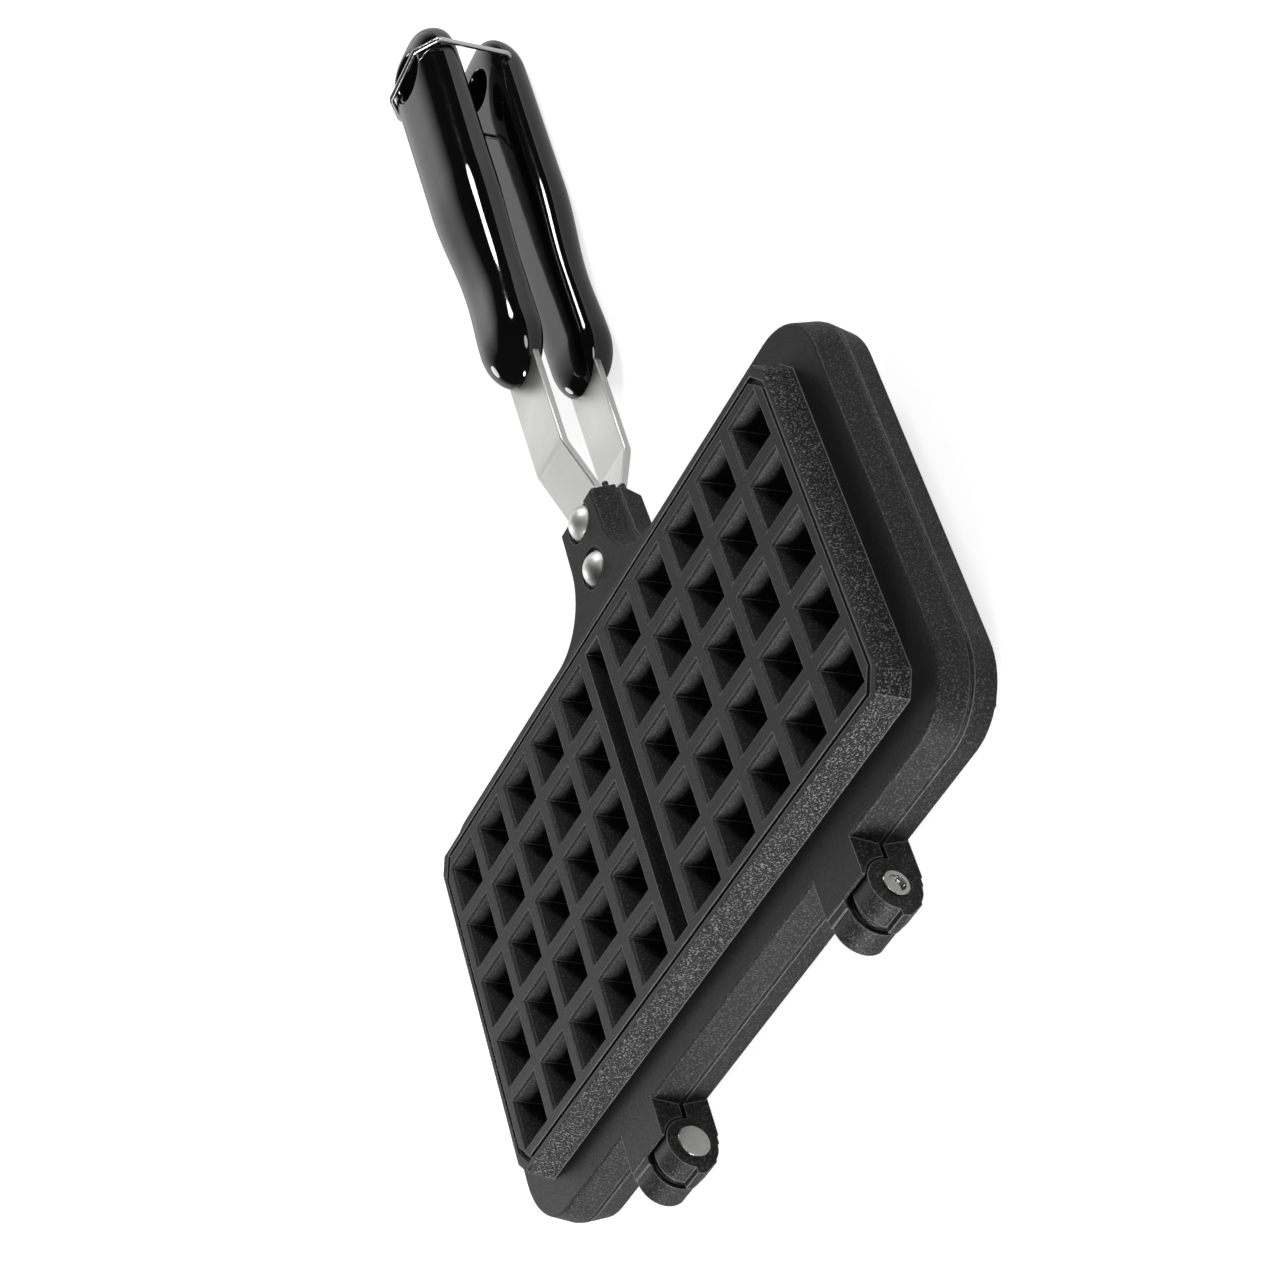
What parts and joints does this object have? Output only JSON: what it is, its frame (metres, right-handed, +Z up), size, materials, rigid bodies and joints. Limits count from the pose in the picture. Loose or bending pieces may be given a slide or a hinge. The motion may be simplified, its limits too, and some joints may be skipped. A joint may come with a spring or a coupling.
{
  "type": "oven waffle mold",
  "caption": "Hand-held cast waffle mold: hinged rectangular halves with deep square pits, strip-steel stems, waisted handles and a wire bail that clips them shut.",
  "frame": {"origin": "centre of the bounding box in X and Y, on the plane that the closed mold stands on", "axes": "+Y from the hinges to the handles, +X along the long side of the plates, +Z up, square to the plates"},
  "size_m": [0.207, 0.3411, 0.0366],
  "materials": {
    "coated_plate": "satin black non-stick coating on cast aluminium",
    "stem_steel": "satin strip steel",
    "handle": "glossy black moulded phenolic",
    "rivet_metal": "bright",
    "pin_steel": "bright turned steel",
    "bail_wire": "bright drawn wire"
  },
  "bodies": {
    "lower_half": {"lower_plate": "coated_plate", "lower_stem": "stem_steel", "lower_handle": "handle", "lower_inner_rivet": "rivet_metal", "lower_outer_rivet": "rivet_metal", "right_hinge_pin": "pin_steel", "left_hinge_pin": "pin_steel"},
    "upper_half": {"upper_plate": "coated_plate", "upper_stem": "stem_steel", "upper_handle": "handle", "upper_inner_rivet": "rivet_metal", "upper_outer_rivet": "rivet_metal"},
    "bail": {"bail": "bail_wire"}
  },
  "joints": [
    {"name": "main_hinge", "type": "hinge", "parent": "lower_half", "child": "upper_half", "pos_m": [0, -0.1631, 0.0175], "axis": [1, 0, 0], "range_deg": [0, 95]},
    {"name": "bail_swing", "type": "hinge", "parent": "lower_half", "child": "bail", "pos_m": [0, 0.1554, 0.0086], "axis": [-1, 0, 0], "range_deg": [0, 180]}
  ]
}
